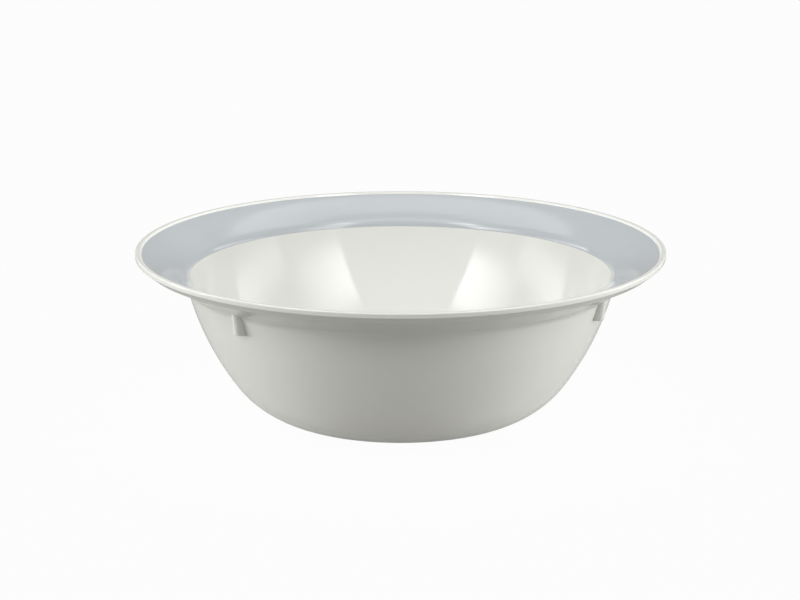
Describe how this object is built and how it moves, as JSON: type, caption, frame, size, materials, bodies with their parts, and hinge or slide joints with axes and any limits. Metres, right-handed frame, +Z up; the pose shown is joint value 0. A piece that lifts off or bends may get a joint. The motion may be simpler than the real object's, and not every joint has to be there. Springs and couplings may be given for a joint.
{
  "type": "rimmed serving bowl",
  "caption": "Round serving bowl with a wide flared rim, a coloured band on the rim, small stacking lugs under it and a soft non-slip ring in the foot.",
  "frame": {"origin": "on the bowl's axis, in the plane that the foot ring stands on", "axes": "+Z up along the bowl's axis; the picture was taken from -Y, so +X is to its right"},
  "size_m": [0.2542, 0.2542, 0.0847],
  "materials": {
    "white_melamine": "glossy moulded melamine",
    "grey_band": "glossy, blue-grey decal moulded into the surface",
    "soft_ring": "matt soft elastomer"
  },
  "bodies": {
    "root": {"serving_bowl": "white_melamine", "rim_band": "grey_band", "non_slip_foot_ring": "soft_ring"}
  },
  "joints": []
}
